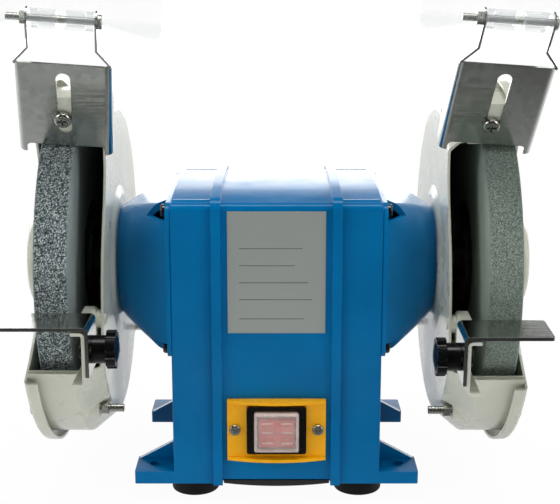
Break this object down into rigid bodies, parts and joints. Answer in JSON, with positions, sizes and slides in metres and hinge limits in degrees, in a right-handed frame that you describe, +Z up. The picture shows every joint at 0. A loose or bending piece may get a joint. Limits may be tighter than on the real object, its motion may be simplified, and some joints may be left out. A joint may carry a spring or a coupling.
{
  "type": "bench grinder",
  "caption": "Bench grinder: motor housing on rubber feet, a guarded grinding wheel at each end of its spindle, with tool rests, spark deflectors and clear eye shields.",
  "frame": {"origin": "centre of the four base holes, on the underside of the base's ears", "axes": "+X along the spindle to the right-hand wheel, -Y to the front, +Z up"},
  "size_m": [0.3628, 0.2663, 0.3732],
  "materials": {
    "blue_paint": "gloss enamel",
    "cream_paint": "gloss powder coat",
    "zinc_sheet": "zinc-plated sheet",
    "zinc_fastener": "zinc-plated",
    "steel": "turned steel",
    "black_steel": "black",
    "laminations": "stacked steel sheet",
    "copper": "enamelled copper",
    "cast_aluminium": "cast",
    "coarse_abrasive": "coarse grey grit",
    "fine_abrasive": "fine green-grey grit",
    "blotter": "card",
    "black_plastic": "moulded",
    "grey_plastic": "moulded",
    "yellow_plastic": "moulded",
    "red_plastic": "translucent",
    "clear_plastic": "clear sheet",
    "rubber": "moulded",
    "silver_label": "satin"
  },
  "bodies": {
    "base": {"center_housing": "blue_paint", "left_end_bell": "blue_paint", "right_end_bell": "blue_paint", "end_bell_screws": "black_steel", "bottom_plate": "black_steel", "bottom_plate_screws": "zinc_fastener", "rubber_feet": "rubber", "foot_screws": "zinc_fastener", "stator_core": "laminations", "stator_windings": "copper", "capacitor": "cast_aluminium", "capacitor_clamp": "zinc_fastener", "cord_gland": "black_plastic", "nameplate": "silver_label", "switch_plate": "yellow_plastic", "switch_body": "black_plastic", "switch_dust_cover": "clear_plastic", "switch_screws": "zinc_fastener", "bearing_outer_rings": "steel", "bearing_balls": "steel", "left_guard_inner": "cream_paint", "right_guard_inner": "cream_paint", "left_guard_cover": "cream_paint", "right_guard_cover": "cream_paint", "cover_screws": "zinc_fastener", "cover_nuts": "zinc_fastener", "cover_spring_washers": "zinc_fastener", "guard_mount_screws": "zinc_fastener", "left_rest_bracket": "cream_paint", "right_rest_bracket": "cream_paint", "bracket_rivets": "cream_paint", "bracket_nuts": "black_steel", "deflector_screws": "zinc_fastener", "deflector_nuts": "zinc_fastener"},
    "spindle": {"shaft": "steel", "rotor_core": "laminations", "rotor_cage": "cast_aluminium", "bearing_inner_rings": "steel", "inner_flanges": "black_steel", "outer_flanges": "black_steel", "spindle_nuts": "zinc_fastener", "left_wheel": "coarse_abrasive", "right_wheel": "fine_abrasive", "wheel_bushes": "grey_plastic", "wheel_blotters": "blotter"},
    "left_rest": {"left_tool_rest": "zinc_sheet"},
    "left_clamp": {"left_knob": "black_plastic", "left_knob_stud": "zinc_fastener"},
    "left_deflector": {"left_spark_deflector": "zinc_sheet", "left_shield_bolt": "zinc_fastener"},
    "left_shield": {"left_eye_shield": "clear_plastic"},
    "right_rest": {"right_tool_rest": "zinc_sheet"},
    "right_clamp": {"right_knob": "black_plastic", "right_knob_stud": "zinc_fastener"},
    "right_deflector": {"right_spark_deflector": "zinc_sheet", "right_shield_bolt": "zinc_fastener"},
    "right_shield": {"right_eye_shield": "clear_plastic"},
    "rocker": {"switch_rocker": "red_plastic"}
  },
  "joints": [
    {"name": "spindle_spin", "type": "hinge", "parent": "base", "child": "spindle", "pos_m": [0, 0, 0.129], "axis": [1, 0, 0], "continuous": true},
    {"name": "left_rest_slide", "type": "slide", "parent": "base", "child": "left_rest", "axis": [0, -1, 0], "range_m": [-0.001, 0.008]},
    {"name": "left_knob_turn", "type": "hinge", "parent": "base", "child": "left_clamp", "pos_m": [-0.1, -0.116, 0.1035], "axis": [1, 0, 0], "range_deg": [-360, 0]},
    {"name": "left_deflector_slide", "type": "slide", "parent": "base", "child": "left_deflector", "axis": [0.0837, -0.5236, 0.8478], "range_m": [-0.001, 0.007]},
    {"name": "left_shield_tilt", "type": "hinge", "parent": "left_deflector", "child": "left_shield", "pos_m": [-0.11714, -0.09892, 0.28613], "axis": [0.9965, 0.044, -0.0712], "range_deg": [-60, 40]},
    {"name": "right_rest_slide", "type": "slide", "parent": "base", "child": "right_rest", "axis": [0, -0.9991, -0.0419], "range_m": [-0.001, 0.008]},
    {"name": "right_knob_turn", "type": "hinge", "parent": "base", "child": "right_clamp", "pos_m": [0.1, -0.11483, 0.09867], "axis": [1, 0, 0], "range_deg": [0, 360]},
    {"name": "right_deflector_slide", "type": "slide", "parent": "base", "child": "right_deflector", "axis": [0.0837, -0.5587, 0.8252], "range_m": [-0.005, 0.003]},
    {"name": "right_shield_tilt", "type": "hinge", "parent": "right_deflector", "child": "right_shield", "pos_m": [0.13007, -0.1082, 0.28598], "axis": [0.9965, 0.0469, -0.0693], "range_deg": [-60, 40]},
    {"name": "switch_rock", "type": "hinge", "parent": "base", "child": "rocker", "pos_m": [0, -0.066, 0.0368], "axis": [1, 0, 0], "range_deg": [-16, 0]}
  ]
}
